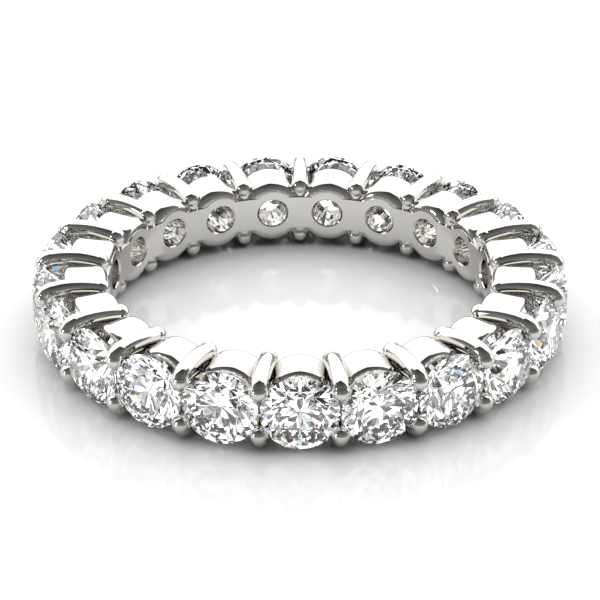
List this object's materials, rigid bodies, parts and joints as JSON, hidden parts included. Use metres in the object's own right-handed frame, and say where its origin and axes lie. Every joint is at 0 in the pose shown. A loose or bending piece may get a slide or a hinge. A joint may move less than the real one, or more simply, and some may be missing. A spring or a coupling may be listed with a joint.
{
  "type": "wedding ring",
  "caption": "Eternity ring lying flat: round brilliant stones set all the way round in shared arched wire claws over pierced round cups.",
  "frame": {"origin": "on the ring's axis, at the height of the surface that the ring lies on", "axes": "+Z along the ring's axis, upwards as it lies flat; -Y from the axis towards the first stone"},
  "size_m": [0.023, 0.023, 0.0034],
  "materials": {
    "white_gold": "polished",
    "diamond": "polished"
  },
  "bodies": {
    "root": {"band": "white_gold", "stone_01": "diamond", "stone_02": "diamond", "stone_03": "diamond", "stone_04": "diamond", "stone_05": "diamond", "stone_06": "diamond", "stone_07": "diamond", "stone_08": "diamond", "stone_09": "diamond", "stone_10": "diamond", "stone_11": "diamond", "stone_12": "diamond", "stone_13": "diamond", "stone_14": "diamond", "stone_15": "diamond", "stone_16": "diamond", "stone_17": "diamond", "stone_18": "diamond", "stone_19": "diamond", "stone_20": "diamond", "stone_21": "diamond"}
  },
  "joints": []
}
